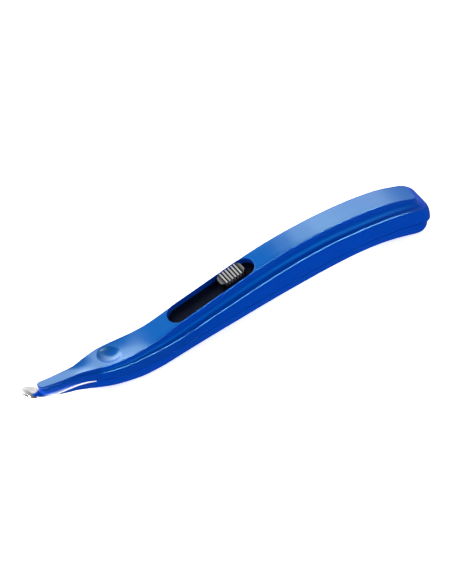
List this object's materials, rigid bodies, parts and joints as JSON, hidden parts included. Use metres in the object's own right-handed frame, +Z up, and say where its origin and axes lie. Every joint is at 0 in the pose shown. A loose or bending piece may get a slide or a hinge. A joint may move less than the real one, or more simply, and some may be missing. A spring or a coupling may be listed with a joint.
{
  "type": "staple remover",
  "caption": "Push-style staple remover: slim two-shell handle with a finger dimple, upturned steel lifting blade and a ribbed thumb slide that carries a magnet.",
  "frame": {"origin": "centre of the footprint on the surface it rests on", "axes": "-X toward the blade tip, +X toward the tail, +Z up out of the top panel, XZ is the mirror plane"},
  "size_m": [0.1707, 0.0178, 0.0215],
  "materials": {
    "blue_shell": "glossy royal blue moulded plastic",
    "black_button": "satin black moulded plastic",
    "black_slide": "satin black moulded plastic",
    "polished_steel": "polished stainless steel",
    "rivet_steel": "zinc plated",
    "screw_steel": "zinc plated",
    "spring_steel": "bright spring steel",
    "magnet_plating": "nickel plated",
    "yoke_steel": "zinc plated"
  },
  "bodies": {
    "handle": {"upper_housing": "blue_shell", "lower_housing": "blue_shell", "lifting_blade": "polished_steel", "blade_rivets": "rivet_steel", "shell_screws": "screw_steel"},
    "slide": {"slide_block": "black_slide", "thumb_button": "black_button", "magnet": "magnet_plating", "magnet_yoke": "yoke_steel", "detent_spring": "spring_steel"}
  },
  "joints": [
    {"name": "thumb_slide", "type": "slide", "parent": "handle", "child": "slide", "axis": [-0.9839, 0, -0.1788], "range_m": [0, 0.0194]}
  ]
}
